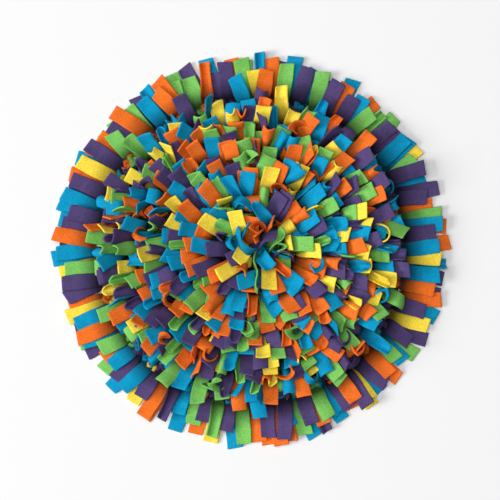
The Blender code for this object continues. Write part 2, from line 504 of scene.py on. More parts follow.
@dataclass(frozen=True)
class Sprawl:
    """How one rim end lies: over the edge and down to rest on the floor or on other ends."""

    root: np.ndarray
    heading: float
    resting: float
    lift: float
    drift: float
    roll: float
    fold: float
    length: float
    phase: float
    slant: float
    drop_run: float = 21.0 * MM
    crest: float = 3.0 * MM

    def ribbon(self) -> Ribbon:
        """Return the ribbon, level once it is down."""
        run = SHARES * self.length
        down = smooth(run / self.drop_run)
        height = self.root[2] + (self.resting - self.root[2]) * down
        dropping = np.clip(run / self.drop_run, 0, 1)
        height = height + self.crest * np.sin(np.pi * dropping) * (1 - down)
        height = height + self.lift * SHARES ** 3
        headings = self.heading + self.drift * SHARES
        steps = np.stack((np.sin(headings), np.cos(headings)), axis=1)
        middle = (steps[1:] + steps[:-1]) / 2
        plan = np.concatenate((
            np.zeros((1, 2)), np.cumsum(middle * np.diff(run)[:, None], axis=0)))
        centre = np.column_stack((plan + self.root[:2], height))
        roll = self.roll * smooth(SHARES * 3.0)
        fold = self.fold * smooth(SHARES * 2.0)
        ribbon = ribbon_along(centre, headings, roll, fold, self.phase)
        ribbon.slant = self.slant
        return ribbon


# ---- Laying the strips clear of each other, apart from where the pile presses them ----


class Thicket:
    """Every end laid so far, and the test of whether a new one clears them."""

    # The cloth is soft, so two strips that press on each other may share this much of their nap.
    ROOM = -0.45 * MM
    NECK_STATIONS = 2
    KIN_STATIONS = 4
    # How hard an end is pressed in: the first station that must clear, the share of its width
    # that must clear, and how many times the room above it may share.
    PRESSES = ((2, 0.94, 1.0), (3, 0.82, 1.5), (5, 0.68, 1.9), (6, 0.60, 1.9))
    # From this press on, an end is tested against the upper part of the others alone.
    HIDDEN_PRESS = 2
    # Where a ray starts that looks down on the mat, in metres.
    LOOKOUT = 0.2

    def __init__(self) -> None:
        """Start with nothing laid."""
        self.trees: list[BVHTree] = []
        self.upper: list[BVHTree] = []
        self.lows: list[np.ndarray] = []
        self.highs: list[np.ndarray] = []

    def clears(self, ribbon: Ribbon, floor: float, ceiling: float, kin: Sequence[int] = (),
               press: int = 0) -> bool:
        """Return whether a ribbon touches no end laid so far and stays over the floor.

        Args:
            ribbon: The end to test.
            floor: The lowest height that it may reach.
            ceiling: The greatest height that it may reach.
            kin: The ends of the same knot, which may touch it near the knot.
            press: How hard its hidden half and its edges are pressed in, by its place in PRESSES.

        Returns:
            Whether it may be laid.
        """
        first, slim, ease = self.PRESSES[press]
        points, quads = ribbon.surface(ease * self.ROOM, first, slim)
        cloud = np.array(points)
        low, high = cloud.min(axis=0), cloud.max(axis=0)
        if low[2] < floor or high[2] > ceiling:
            return False
        if not self.trees:
            return True
        near = np.all((np.array(self.lows) < high) & (np.array(self.highs) > low), axis=1)
        if not near.any():
            return True
        tree = BVHTree.FromPolygons(points, quads)
        others = self.upper if press >= self.HIDDEN_PRESS else self.trees
        if any(tree.overlap(others[index]) for index in np.flatnonzero(near) if index not in kin):
            return False
        if not kin:
            return True
        upper = BVHTree.FromPolygons(*ribbon.surface(self.ROOM, self.KIN_STATIONS))
        return not any(upper.overlap(self.upper[index]) for index in kin)

    def covers(self, place: np.ndarray) -> bool:
        """Return whether an end hides a point of the floor from above.

        Args:
            place: The point.

        Returns:
            Whether it is hidden.
        """
        above = Vector((place[0], place[1], self.LOOKOUT))
        near = (np.array(self.lows)[:, :2] < place[:2]) & (np.array(self.highs)[:, :2] > place[:2])
        return any(self.trees[index].ray_cast(above, Vector((0.0, 0.0, -1.0)))[0] is not None
                   for index in np.flatnonzero(np.all(near, axis=1)))

    def keep(self, ribbon: Ribbon) -> int:
        """Take a ribbon into the thicket.

        Args:
            ribbon: The end that has been laid.

        Returns:
            Its number.
        """
        points, quads = ribbon.surface(self.ROOM, self.NECK_STATIONS)
        cloud = np.array(points)
        self.trees.append(BVHTree.FromPolygons(points, quads))
        self.upper.append(BVHTree.FromPolygons(*ribbon.surface(self.ROOM, self.KIN_STATIONS)))
        self.lows.append(cloud.min(axis=0))
        self.highs.append(cloud.max(axis=0))
        return len(self.trees) - 1


class Manner(Enum):
    """The ways in which an upright end sets."""

    FLAT = ""
    FOLDED = "f"
    HOOKED = "h"
    EDGEWISE = "e"
    RUFFLED = "r"


@dataclass
class Knot:
    """A tied strip: where its knot sits, its cloth, and the numbers of its laid ends."""

    rank: str
    cloth: Fleece
    place: np.ndarray
    bearing: float
    size: float = 1.0
    turn: tuple[float, float, float] = (0.0, 0.0, 0.0)
    laid: list[int] = field(default_factory=list)


@dataclass(frozen=True)
class ChartedEnd:
    """One end: bearings in degrees clockwise from the far side, reach in metres."""

    bearing: float
    cloth: Fleece
    reach: float
    manner: Manner = Manner.FLAT
    askew: float = 0.0
    on_top: bool = False

    @classmethod
    def read(cls, chart: str) -> list["ChartedEnd"]:
        """Return the ends of a chart.

        Args:
            chart: Words such as 10.5Y210h-20!, which is a yellow end at 10.5 degrees with its
                cut end 210 mm out, hooked, turned 20 degrees back from radial, and laid over
                its neighbours.

        Returns:
            The ends, in the chart's order.
        """
        words = re.findall(r"([\d.]+)([A-Z])(\d+)([a-z]?)([+-]\d+)?(!?)", chart)
        return [cls(float(bearing), Fleece.from_letter(letter), float(reach) * MM,
                    Manner(manner), float(askew or 0.0), bool(top))
                for bearing, letter, reach, manner, askew, top in words]

    @property
    def rank(self) -> str:
        """Return the rank of the frame that the end belongs to."""
        return next(name for name, nearest in RANK_REACH.items() if self.reach >= nearest)

    @property
    def tip(self) -> np.ndarray:
        """Return the plan point of the middle of the cut end."""
        return plan_point(self.reach, math.radians(self.bearing))[:2]


RANK_REACH = {"rank2": 196.0 * MM, "rank3": 163.0 * MM, "rank4": 130.0 * MM, "rank5": 95.0 * MM,
              "rank6": 59.0 * MM, "centre": 0.0}
# Each rim end: its bearing in degrees clockwise from the far side, its cloth, and its reach in
# millimetres. The lower ends lie on the floor and the upper ones over them.
RIM_LOWER = """
8.5P240 13B249 20B240 25.5P234 31B249 40O243 47G246 51P238 55B243 58.5Y246 67B236 79G243 83O246
87.5O249 94B245 98.5P243 103.5P243 104.5O246 110B247 117P247 122.5G245 131O245 137B240 142Y247
147O235 151.5B241 157P246 161B247 168O244 171O247 174.5O244 184.5B248 192Y245 197O240 203B245
212.5O248 218Y241 225.5B247 231G239 238P243 241.5G244 247P240 252O238 259P240 263Y241 267.5B249
273P240 279.5B243 284B248 289P241 293O246 298B247 302O240 307O238 313G237 323P240 326.5B243
333Y239 335.5G242 340P245 346.5B246 354O241 358G238
"""
RIM_UPPER = """
2.5B248 6O242 11G238 17.5P240 22G241 27.5P238 30.5O240 36.5B238 41.5G230 44G238 48.5P236 54B240
60.5G235 64.5P241 71.5P247 76O234 82B242 88.5B236 92.5Y238 97.5B238 102O235 109.5P231 113Y241
120P230 126B236 131.5O234 134.5P238 141Y239 143P243 148P232 151B231 157O236 160.5P230 163.5G240
167.5B225 170P240 174.5P235 177.5O239 182G242 188P228 192G238 196P222 198.5G229 204B224 208P239
213O248 217P230 223B237 226.5P235 230.5B227 237G226 241.5B240 243O244 247B238 250Y245 255.5P239
260P240 264G234 269B244 275O248 278P239 282P233 287B246 291.5P242 297.5Y243 303P244 308.5G236
311.5P236 315O245 319G236 324B233 331O243 335G233 340G230 346O242 349.5P226 352P238 357G240
"""
# The upright ends, from the rim inward: f is folded, h hooked, e on edge and r ruffled.
PILE_CHART = """
4P201 10.5Y210-20! 26.5B208 33.5O200 46.5O210 51P195 54.5B195r 65.5B196h 83.5G196+22 97P200 109G201
126B214 145G200 176.5B209 184O201 199.5G202-4 208B196+10 214G201 244O196 246.5G209 260P196r
264G198r 269.5B196r 274.5P198-5 275.5G208 278O206e-18 288B200r 291.5Y195 297P202+3 312G210+4
317B198 335P214-8 344.5B199e+14 354.5B219-18 0P181 5Y182 6O192 9B182-16 18Y185r 23G190r 25O184+5
28B192 32.5B176+18! 36.5P190e 40P194r 40.5B186 57O186f 61.5P192 63.5G172 66.5O182 71.5B194r
74O179-8 74P184 78.5B191 81Y174h 87P188+12 90B181e+25 91G175+8 91.5P194 96B182-10! 101.5Y186
104Y179f+10 109B181h-15 114.5P190 117G185+18 118.5O172 120.5B184 132.5G179 132.5O186h 136.5P190h
139.5O174-10 140P190f+15 145G194 148B182+14! 154B182h 159.5O194+10 165.5B185f+5 172.5O194
177B189e+22 179G178f+28 179.5B188 187.5B185e 190.5P186f 191G190-10 194G174h 205O172e-28 219G179
222B189f 222.5P174f 226.5O184 231G179 231.5B182e 235.5G188r 237.5Y179 239B174 241B192 245.5P172f
248.5B184e+18 252.5P179 254.5Y191f 258G181f+8 260.5P190 264B190-30 270.5G190f 275.5P174-5
275.5P182f 277.5G182-14 278.5Y191e-18 282.5P175e 283O185e-32 283.5P192 286.5B190r 287.5G174e
291G188 294P185e 301.5Y182 303B174r 315Y176f 323B191f+12 325.5O180 328.5B192r 329.5B178-22
329.5Y186+10 332B189e-10 336.5P174e-32 339.5G182f+10 342B175 346.5Y190-2 351.5Y175f 353.5B185r
359B189-10 4P170e 8O156f 15G159 16B162 17B154f+12 21O170h 24.5G155-30 37G159 40Y169+5 45.5P160
45.5Y154 46.5O171r 51B169 57P152 57.5G171+12 57.5P158 65.5P154 70O161e-40 71Y155 78Y152+20 82B150r
84.5P164-22 97Y152 106P151 114.5P158+15 117Y155f 120O156 124.5P151h 125G161-15 127P171r 129G150
132P168h 136.5P150f 137.5P168-15 142.5O152f 148O151 158.5P171! 161.5B156+14 164.5O164h 171Y158
171Y170f 179P164+22 182.5P155 185G165-10 190B151 194G160f 199P170-14 201P155+8 208O156e 212O168
212P165 219G162f 223.5O158h 229B168+18 233.5P159-14 236.5O170-10 240.5B162 242.5B151 248.5O151
255G155 255G160 262Y170 266B154r 270.5G170! 279G155e 283B165 286O151h 289B151e-28 290.5O171-10!
295B168-18 298.5P171r 302P160h 306.5G169-5 307.5O151-8 309.5O169 311.5P151-10 312P165 313B162
316.5G158e 318.5G161e 320Y171e+32 323P166 326O159-5 330.5O156-3 334P161-10 335.5O165 339.5Y165+26
340.5B150+14 341G160 344.5O165e 349P150 349.5B161 350G158-8 353.5O162 358G160 359G161 0O141 1Y138
2P132e-10 11G131+10 22O139+10 23.5O144 31O149e+22 34O149e+18 37B148r 39.5G138h 41.5O149 45.5G148+8
49.5P144e 55O148 69.5G139 77P142r 87O142 87.5O139 91.5Y148+20 93G136e 97.5B149f 102.5P130
103G146+10 109.5G131+28 111.5P148r+15 119P132r 124B130+22 132.5B146e 134O130f+35 140.5B135-8
150B142+6 151G146 155O146e 160O129f+16 160.5P146+25 165G140 169.5Y149 173Y135 175.5P149+8 181.5B131
192G129-18 199.5P128 201O148h 206.5O141r 213.5B145 214P141 222B144 225.5G139+4 231P148-10 247B136
252B132-14 254P138 257.5O146+14 261G134-8 267Y140-14 270.5P144 271P128f 272G131-10 275B138e-18
276.5B148 278.5O145h 283G129 286.5P129f 291B134e-14 292.5O141f+14 298.5B148r 300.5O131 308.5B130r
316P139 319B132+5 320B142 324O140f 342.5B146e 346.5O142+5 348.5O138-5 355.5G138 11G121+14 14Y108
15B111 20.5O115+5 24B124 31B122f+8 31Y126 34O116e+14 36O126 38P122 42.5B121e 49B126 49.5B118
57Y105e 60.5G122 74.5B125+10 77B108 81.5Y126 86B109 90B120 95.5P122r 98.5O111 103P122 112.5Y115
114.5G121e 119.5P106 121B125 122.5P106 130O120+22 135O114+8 136.5G120 139O105+22 142O124-18
142Y121-18 142.5B116-18 144.5P110 151G122h 166.5P126r 167.5O105 177O118 177P121 180.5G110h
184G125-8 190P115 192P124 199O114+8 199.5Y125 205O116 206.5B111+8 216.5P122 217G125 227O114 228G105
231O126-10 235B105-6 237G112-14 238O124h 243P112-10 247.5O122f 253.5P121r 260.5B105 268B110+18
280B114 291Y111+5 296O125h 297.5B105 302Y120+5 305O105+12 314P110+10 319B105 323.5G115 323.5G121+8
330B122-10 334.5B110 336O120-10 337.5P126 338Y119h 341P110-5 347P112-10 353G120-5 358.5G121h
359G120h 0O104 2.5O75h 9.5O102 11G80r 19B81e-25 26O89h 29.5P81 32P86-10 48O82+5 56O85 61.5B95
67.5B75 69P100 81G100 84.5G80 91Y86 103B90h 106B94 106O96 116O90 125B78 132B78 140.5P96 141.5P78
143O94 146.5B92 150G102 156B88 156O100-25 166G94 177G100 180O81 183P90h 184G102h 191B101 192P88
195B78 201B86 207O98+8 215.5O96 216Y104 217G88 228O78 249B95 249P76 253O86 259.5B99h 264O88+8
269P100+5 272G102 275O84 277B75 279P104 288B94 290O76! 304Y76 311P101-5 324O104 330.5G102! 341B99-6
355O102+8 358B99+8 0O44 9B58f-30 24O32h 38O48e 49Y64h+15 60G52r 60P28r 101B49e+28 104P59h 122O56f
133B35f 147O65 155Y54 158B70 174G52e 205O28f 214P66 228Y25 232Y52! 238O62 239G71 271P56 305B30h
315B72 321G60h 335G61r 340Y55! 348B65h
"""


# The crown's ends nearer than this to the middle, in millimetres, belong to the centre's strips.
CENTRE_REACH = 44.0
# A charted end this close to a crown end of its cloth, in millimetres, is the same end.
SAME_END = 11.0
# The heights, in millimetres from its charted one, and the tilts that a crown end is tried at.
CROWN_STEPS = (0.0, 1.5, -1.5, 3.0, -3.0, 4.5, -4.5, 6.0, -6.0, -8.0, -10.0, -12.0, -14.0, -17.0)
CROWN_TILTS = (0.0, 4.0, -6.0, 10.0, 18.0)
# Each draw of a pile end: how far it may stray, and its shortest and longest free length.
PILE_DRAWS = (
    (1.0, (52.0, 60.0)), (0.9, (52.0, 60.0)), (0.8, (48.0, 58.0)), (0.6, (46.0, 56.0)),
    (0.5, (42.0, 50.0)), (0.4, (38.0, 48.0)), (0.3, (32.0, 42.0)))


@dataclass(frozen=True)
class CrownEnd:
    """One end at the crown: lengths in millimetres, angles in degrees."""

    cloth: Fleece
    tip: tuple[float, float]
    heading: float
    lean: float
    top: float
    roll: float = 0.0
    drift: float = 0.0
    hook: float = 0.0
    fold: float = 0.0
    ruffle: float = 0.0
    length: float = 62.0

    @property
    def rank(self) -> str:
        """Return the rank whose strips this end belongs to."""
        return "centre" if math.hypot(*self.tip) < CENTRE_REACH else "rank6"

    def ribbon(self, seen: float, top: float, phase: float) -> Ribbon:
        """Return the end's ribbon, with its cut end at its place.

        Args:
            seen: How far inward the place lies, as a share.
            top: The height of the centre line's highest point, in millimetres.
            phase: Where its waves fall.

        Returns:
            The ribbon.
        """
        stem = 0.0
        for _pass in range(3):
            ribbon = Stance(
                root=UP * CUT.tie_height, heading=math.radians(self.heading - 0.35 * self.drift),
                lean=math.radians(self.lean), curl=0.0, hook=math.radians(self.hook),
                drift=math.radians(self.drift), roll=math.radians(self.roll),
                twist=math.radians(8.0), fold=self.fold * MM, ruffle=self.ruffle * MM,
                length=self.length * MM, phase=phase, slant=0.8 * MM, bend_run=16.0 * MM,
                stem=stem, sway=math.radians(7.0)).ribbon()
            stem = max(0.0, stem + top * MM - float(ribbon.centre[:, 2].max()))
        ribbon.centre[:, :2] += np.array(self.tip) * MM * seen - ribbon.centre[-1, :2]
        return ribbon


CROWN = (
    CrownEnd(Fleece.BLUE, (-14.0, 28.0), 300.0, 10.0, 52.0, roll=64.0, drift=150.0, length=74.0),
    CrownEnd(Fleece.YELLOW, (-17.0, -15.0), 210.0, 30.0, 54.0, roll=4.0, fold=1.5, length=57.0),
    CrownEnd(Fleece.BLUE, (25.0, -22.0), 140.0, 34.0, 53.0, fold=4.5, length=58.0),
    CrownEnd(Fleece.YELLOW, (-21.0, 50.0), 344.0, 18.0, 50.0, fold=1.0, length=62.0),
    CrownEnd(Fleece.YELLOW, (23.0, -49.0), 178.0, 20.0, 46.0, fold=1.5, length=62.0),
    CrownEnd(Fleece.PURPLE, (32.0, 20.0), 55.0, 14.0, 53.0, roll=56.0, ruffle=4.4, length=66.0),
    CrownEnd(Fleece.GREEN, (9.0, -52.0), 178.0, 10.0, 51.0, roll=84.0, ruffle=5.2, length=76.0),
    CrownEnd(Fleece.BLUE, (-17.0, -41.0), 252.0, 20.0, 46.0, fold=2.0, length=58.0),
    CrownEnd(Fleece.ORANGE, (4.0, 14.0), 230.0, 10.0, 57.0, roll=58.0, fold=4.0, length=56.0),
    CrownEnd(Fleece.BLUE, (-4.0, 31.0), 20.0, 35.0, 50.0, roll=76.0, drift=25.0, length=54.0),
    CrownEnd(Fleece.GREEN, (41.0, 24.0), 40.0, 30.0, 50.0, roll=38.0, fold=8.0, ruffle=2.2,
             length=56.0),
    CrownEnd(Fleece.BLUE, (4.0, 60.0), 322.0, 28.0, 54.0, fold=8.5, length=62.0),
    CrownEnd(Fleece.YELLOW, (41.0, 34.0), 325.0, 28.0, 52.0, hook=125.0, length=54.0),
    CrownEnd(Fleece.BLUE, (38.0, 16.0), 62.0, 14.0, 42.0, roll=80.0, drift=-30.0, length=58.0),
    CrownEnd(Fleece.GREEN, (-43.0, 53.0), 288.0, 12.0, 46.0, roll=80.0, ruffle=2.6, length=66.0),
    CrownEnd(Fleece.GREEN, (-43.0, 36.0), 300.0, 22.0, 44.0, fold=7.0, length=60.0),
    CrownEnd(Fleece.ORANGE, (1.0, 43.0), 2.0, 22.0, 44.0, fold=-2.0, length=58.0),
    CrownEnd(Fleece.PURPLE, (53.0, -12.0), 60.0, 14.0, 44.0, roll=76.0, drift=200.0, length=68.0),
    CrownEnd(Fleece.ORANGE, (2.0, 68.0), 2.0, 24.0, 44.0, hook=110.0, length=60.0),
)


@dataclass
class StripPile:
    """All the knotted strips of the mat."""

    seed: int = 7
    rim_radius: float = 187.0 * MM
    eye_height: float = 1900.0 * MM
    floor_clear: float = 0.6 * MM
    base_clear: float = 3.6 * MM
    highest: float = 66.0 * MM
    rim_probes: tuple[float, float, float] = (204.0, 214.0, 223.0)
    rim_steps: int = 24
    rim_tries: int = 4
    fill_step: float = 10.0
    fill_tries: int = 2
    knot_reach: float = 13.0 * MM
    knots: list[Knot] = field(default_factory=list)
    ends: dict[tuple[str, Fleece], list[Ribbon]] = field(default_factory=dict)
    thicket: Thicket = field(default_factory=Thicket)
    missed: int = 0

    def __post_init__(self) -> None:
        """Start the seeded dice."""
        self.dice = random.Random(self.seed)

    def about(self, spread: float) -> float:
        """Return a random number within a spread either side of nothing."""
        return self.dice.uniform(-spread, spread)

    def seen(self, height: float) -> float:
        """Return how far inward a charted place lies, as a share, for a point at this height."""
        return 1.0 - height / self.eye_height

    def tie(self, rank: str, cloth: Fleece, radius: float, bearing: float) -> Knot:
        """Add a knot on the base cloth.

        Args:
            rank: The rank that its strip belongs to.
            cloth: Its cloth.
            radius: Its distance from the middle, in metres.
            bearing: Its bearing, in radians.

        Returns:
            The knot.
        """
        turn = (self.about(0.5), self.about(0.5), self.dice.uniform(0.0, math.tau))
        place = plan_point(radius, bearing, CUT.tie_height)
        knot = Knot(rank, cloth, place, bearing, self.dice.uniform(1.0, 1.25), turn)
        self.knots.append(knot)
        return knot

    def try_lay(self, knot: Knot, floor: float, draws: Sequence[Iterable]) -> bool:
        """Lay the lowest end that clears the thicket.

        Args:
            knot: The knot that the end comes from.
            floor: The lowest height that the end may reach.
            draws: Random draws of the end, each as a list of ways to set it from low to high.

        Returns:
            Whether an end was laid.
        """
        heights = list(zip(*draws))
        for press in range(len(Thicket.PRESSES)):
            for height in heights:
                for ribbon in height:
                    if self.thicket.clears(ribbon, floor, self.highest, knot.laid, press):
                        knot.laid.append(self.thicket.keep(ribbon))
                        self.ends.setdefault((knot.rank, knot.cloth), []).append(ribbon)
                        return True
        self.missed += 1
        bearing = math.degrees(knot.bearing)
        LOG.info("no room for %s %s at %.0f", knot.rank, knot.cloth.value, bearing)
        return False

    def lay_rim(self) -> None:
        """Tie the rim's knots, and lay their ends out over the edge in two layers."""
        for upper, chart in ((False, RIM_LOWER), (True, RIM_UPPER)):
            ends = ChartedEnd.read(chart)
            for first in (0, 1, 2):
                for end in ends[first::3]:
                    self.lay_rim_end(end, upper)
        self.close_rim()

    def close_rim(self) -> None:
        """Lay one more end wherever the floor shows between the rim's ends."""
        for bearing in range(360):
            angle = math.radians(bearing)
            places = (plan_point(radius * MM, angle) for radius in self.rim_probes)
            if all(self.thicket.covers(place) for place in places):
                continue
            reach = self.dice.uniform(225.0, 233.0) * MM
            cloth = self.dice.choice(list(Fleece))
            self.lay_rim_end(ChartedEnd(float(bearing), cloth, reach), False)

    def lay_rim_end(self, end: ChartedEnd, upper: bool) -> None:
        """Lay one rim end as low as it will go.

        Args:
            end: The end.
            upper: Whether it belongs to the rim's upper layer.
        """
        radius = self.rim_radius - 2.0 * MM * upper + self.about(2.0 * MM)
        bearing = math.radians(end.bearing)
        knot = self.tie("rim", end.cloth, radius, bearing + math.radians(self.about(0.8)))

        def draw() -> Iterable[Ribbon]:
            """Draw one way for the end to lie and give it from low to high."""
            heading = bearing + math.radians(self.about(9.0))
            fold = self.about(2.0 * MM)
            if end.manner is Manner.FOLDED or self.dice.random() < 0.15:
                fold = self.dice.uniform(6.0, 8.5) * MM
            facts = {
                "drift": math.radians(self.about(8.0)),
                "roll": math.radians(self.about(9.0)),
                "fold": fold,
                "phase": self.dice.uniform(0.0, math.tau),
                "lift": self.dice.uniform(0.0, 4.0 * MM) * upper,
                "slant": self.about(1.8 * MM),
            }
            for step in range(self.rim_steps):
                resting = CUT.thickness / 2 + 0.5 * MM + step * 0.9 * MM
                root = knot.place + UP * (1.0 * MM * upper + 0.45 * MM * step)
                length = end.reach - radius + CUT.knot_height / 3
                ribbon = Sprawl(root, heading, resting, length=length, **facts).ribbon()
                ribbon.centre[:, :2] += end.tip * self.seen(resting) - ribbon.centre[-1, :2]
                yield ribbon

        if self.try_lay(knot, self.floor_clear, [draw() for _try in range(self.rim_tries)]):
            knot.place = self.ends[("rim", end.cloth)][-1].centre[0] + UP * 5.0 * MM

    def lay_pile(self) -> None:
        """Stand up every end of the pile, from the rim inward, then fill where the base shows."""
        crowned = sum(self.stand_crown(end) for end in CROWN)
        LOG.info("laid %d of the crown's %d charted ends", crowned, len(CROWN))
        ends = [end for end in ChartedEnd.read(PILE_CHART) if not any(
            end.cloth is other.cloth
            and np.hypot(*(end.tip - np.array(other.tip) * MM)) < SAME_END * MM
            for other in CROWN)]
        ends.sort(key=lambda end: end.reach - 24.0 * MM * end.on_top, reverse=True)
        laid = sum(self.stand_end(end) for end in ends)
        LOG.info("laid %d of the pile's %d charted ends", laid, len(ends))
        filled = 0
        for radius in np.arange(5.0, 184.0, self.fill_step) * MM:
            count = max(1, round(math.tau * radius / (self.fill_step * MM)))
            for slot in range(count):
                bearing = math.tau * slot / count
                if self.thicket.covers(plan_point(radius, bearing)):
                    continue
                cloth = self.dice.choice(list(Fleece))
                reach = max(radius, 12.0 * MM) + 6.0 * MM
                manner = self.dice.choice((Manner.FLAT, Manner.RUFFLED, Manner.FOLDED))
                filler = ChartedEnd(math.degrees(bearing), cloth, reach, manner)
                filled += self.stand_end(filler, self.fill_tries)
        LOG.info("filled %d open places", filled)

    def stand_crown(self, end: CrownEnd) -> bool:
        """Stand one end of the crown up, as near to its height as the others allow.

        Args:
            end: The end.

        Returns:
            Whether there was room for it.
        """
        seen = self.seen(end.top * MM)

        def draw(phase: float, tilt: float) -> Iterable[Ribbon]:
            """Give the end at one tilt, at its own height first."""
            for step in CROWN_STEPS:
                yield replace(end, lean=end.lean + tilt).ribbon(seen, end.top + step, phase)

        draws = [draw(self.dice.uniform(0.0, math.tau), tilt) for tilt in CROWN_TILTS]
        return self.stand(Knot(end.rank, end.cloth, np.zeros(3), math.atan2(*end.tip)), draws)

    def stand_end(self, end: ChartedEnd, tries: int = len(PILE_DRAWS)) -> bool:
        """Stand one end up at its charted place, as low as the others allow.

        Args:
            end: The end.
            tries: How many of the last draws to try it in.

        Returns:
            Whether there was room for it.
        """
        draws = [self.ways(end, wild, lengths) for wild, lengths in PILE_DRAWS[-tries:]]
        knot = Knot(end.rank, end.cloth, np.zeros(3), math.radians(end.bearing))
        return self.stand(knot, draws)

    def stand(self, knot: Knot, draws: Sequence[Iterable]) -> bool:
        """Stand one upright end in the pile and tie its knot.

        Args:
            knot: The end's knot, not yet in its place.
            draws: The end's random draws, as try_lay takes them.

        Returns:
            Whether there was room for it.
        """
        if not self.try_lay(knot, self.base_clear, draws):
            return False
        self.settle_knot(knot, self.ends[(knot.rank, knot.cloth)][-1].centre[0])
        return True

    def ways(self, end: ChartedEnd, wild: float, lengths: tuple[float, float]) -> Iterable[Ribbon]:
        """Give the ways to set one random draw of an end, from low to high.

        Args:
            end: The end.
            wild: How far the draw may stray from a plain strip, from 0 to 1.
            lengths: The shortest and longest free length, in millimetres.

        Yields:
            The end's ribbon, with its cut end at its charted place.
        """
        hand = self.dice.choice((-1.0, 1.0))
        heading = math.radians(end.bearing + end.askew + wild * self.about(7.0))
        inward = 1.0 - min(1.0, end.reach / (60.0 * MM))
        middle = float(smooth((end.reach - 95.0 * MM) / (25.0 * MM)) -
                       smooth((end.reach - 185.0 * MM) / (20.0 * MM)))
        lean = 24.0 + 12.0 * middle + 34.0 * inward + self.about(5.0 + 5.0 * middle)
        fold, hook, roll = self.about(2.8 * MM) * wild, 0.0, self.about(13.0) * wild
        ruffle = self.dice.uniform(0.0, 0.6) * MM
        drift = self.about(12.0) * wild
        if end.manner is Manner.FOLDED:
            fold = hand * self.dice.uniform(8.0, 10.5) * MM
        elif end.manner is Manner.EDGEWISE:
            roll = hand * self.dice.uniform(62.0, 85.0)
            drift = -hand * self.dice.uniform(0.0, 40.0)
        elif end.manner is Manner.HOOKED:
            roll = hand * self.dice.uniform(66.0, 84.0)
            drift = self.dice.choice((-1.0, 1.0)) * self.dice.uniform(170.0, 280.0)
        elif end.manner is Manner.RUFFLED:
            ruffle = self.dice.uniform(2.2, 3.4) * MM
            hook = self.dice.uniform(20.0, 140.0)
            fold = self.about(8.0 * MM)
        elif wild > 0.7 and self.dice.random() < 0.22:
            fold = hand * self.dice.uniform(5.0, 8.5) * MM
        elif wild > 0.7 and self.dice.random() < 0.14:
            hook = self.dice.uniform(60.0, 130.0)
        facts = {
            "curl": math.radians(self.dice.uniform(-14.0, 20.0) * wild),
            "hook": math.radians(hook),
            "drift": math.radians(drift),
            "roll": math.radians(roll),
            "twist": math.radians(self.about(17.0) * wild),
            "fold": fold,
            "ruffle": ruffle,
            "length": self.dice.uniform(*lengths) * MM,
            "phase": self.dice.uniform(0.0, math.tau),
            "slant": self.about(2.0 * MM),
            "sway": math.radians(self.dice.uniform(4.0, 14.0)) * wild,
        }
        bend = self.dice.uniform(13.0, 25.0) * MM
        stray = (4.0 - 3.0 * wild) * MM
        stray = np.array((self.about(stray), self.about(stray)))
        for step in range(16):
            raised = math.radians(min(84.0, lean + 2.0 * step + 4.0 * max(0, step - 11)))
            ribbon = Stance(UP * CUT.tie_height, heading, raised,
                            bend_run=bend, stem=min(step, 11) * 2.7 * MM, **facts).ribbon()
            outermost = ribbon.centre[np.argmax(ribbon.centre[:, :2] @ end.tip)]
            ribbon.centre[:, :2] += end.tip * self.seen(outermost[2]) + stray - outermost[:2]
            yield ribbon

    def settle_knot(self, knot: Knot, root: np.ndarray) -> None:
        """Place an end's knot, or leave the end to a knot of its cloth close by.

        Args:
            knot: The end's knot.
            root: Where the end leaves its knot.
        """
        knot.place = root.copy()
        for other in self.knots:
            if other.cloth is knot.cloth and other.rank == knot.rank and len(other.laid) < 2:
                if np.linalg.norm(other.place - root) < self.knot_reach:
                    other.laid.extend(knot.laid)
                    return
        knot.size = self.dice.uniform(0.85, 1.05)
        knot.turn = (self.about(0.5), self.about(0.5), self.dice.uniform(0.0, math.tau))
        self.knots.append(knot)

    def build(self, nodes: set[str]) -> list[bpy.types.Object]:
        """Lay every strip, make the meshes, and dress the frame with them.

        Args:
            nodes: The names of the frame's nodes.

        Returns:
            The pieces.
        """
        self.lay_rim()
        self.lay_pile()
        LOG.info("knots %d, ends %d, no room for %d", len(self.knots),
                 sum(len(found) for found in self.ends.values()), self.missed)
        strip_tree = StripTree().build()
        knot_tree = KnotTree().build()
        pieces, dressed = [], set()
        for (rank, cloth), ribbons in self.ends.items():
            knots = [knot for knot in self.knots
                     if knot.rank == rank and knot.cloth is cloth and knot.laid]
            name = f"{rank}_{cloth.value}_strips"
            ends = strip_tree.sweep(name + "_ends", ribbons, FINISHES[cloth])
            ties = knot_tree.scatter(name + "_ties", knots, FINISHES[cloth])
            piece = join_pieces(name, (ends, ties))
            piece.data.materials.clear()
            piece.data.materials.append(FINISHES[cloth].material())
            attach(piece, BODY)
            FINISHES[cloth].slot
            node = f"{rank}_{cloth.value}"
            if node in nodes:
                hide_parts(node)
                dressed.add(node)
            LOG.info("piece %s: %d ends, %d faces", name, len(ribbons), len(piece.data.polygons))
            pieces.append(piece)
        for node in sorted(nodes):
            if re.match(r"(rim|rank\d|centre)_", node) and node not in dressed:
                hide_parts(node)
                LOG.info("no end was laid for %s, so %s stands in for it", node, pieces[0].name)
        return pieces


# ---- Geometry Nodes ----


def new_tree(name: str, sockets: Sequence[tuple[str, str, object]]) -> bpy.types.NodeTree:
    """Return a geometry tree with the named inputs and one geometry output.

    Args:
        name: The tree's name.
        sockets: Name, socket type and default value of each input after the geometry.

    Returns:
        The tree.
    """
    tree = bpy.data.node_groups.new(name, "GeometryNodeTree")
    tree.interface.new_socket(name="Geometry", in_out="INPUT", socket_type="NodeSocketGeometry")
    for label, kind, value in sockets:
        socket = tree.interface.new_socket(name=label, in_out="INPUT", socket_type=kind)
        if value is not None:
            socket.default_value = value
    tree.interface.new_socket(name="Geometry", in_out="OUTPUT", socket_type="NodeSocketGeometry")
    return tree


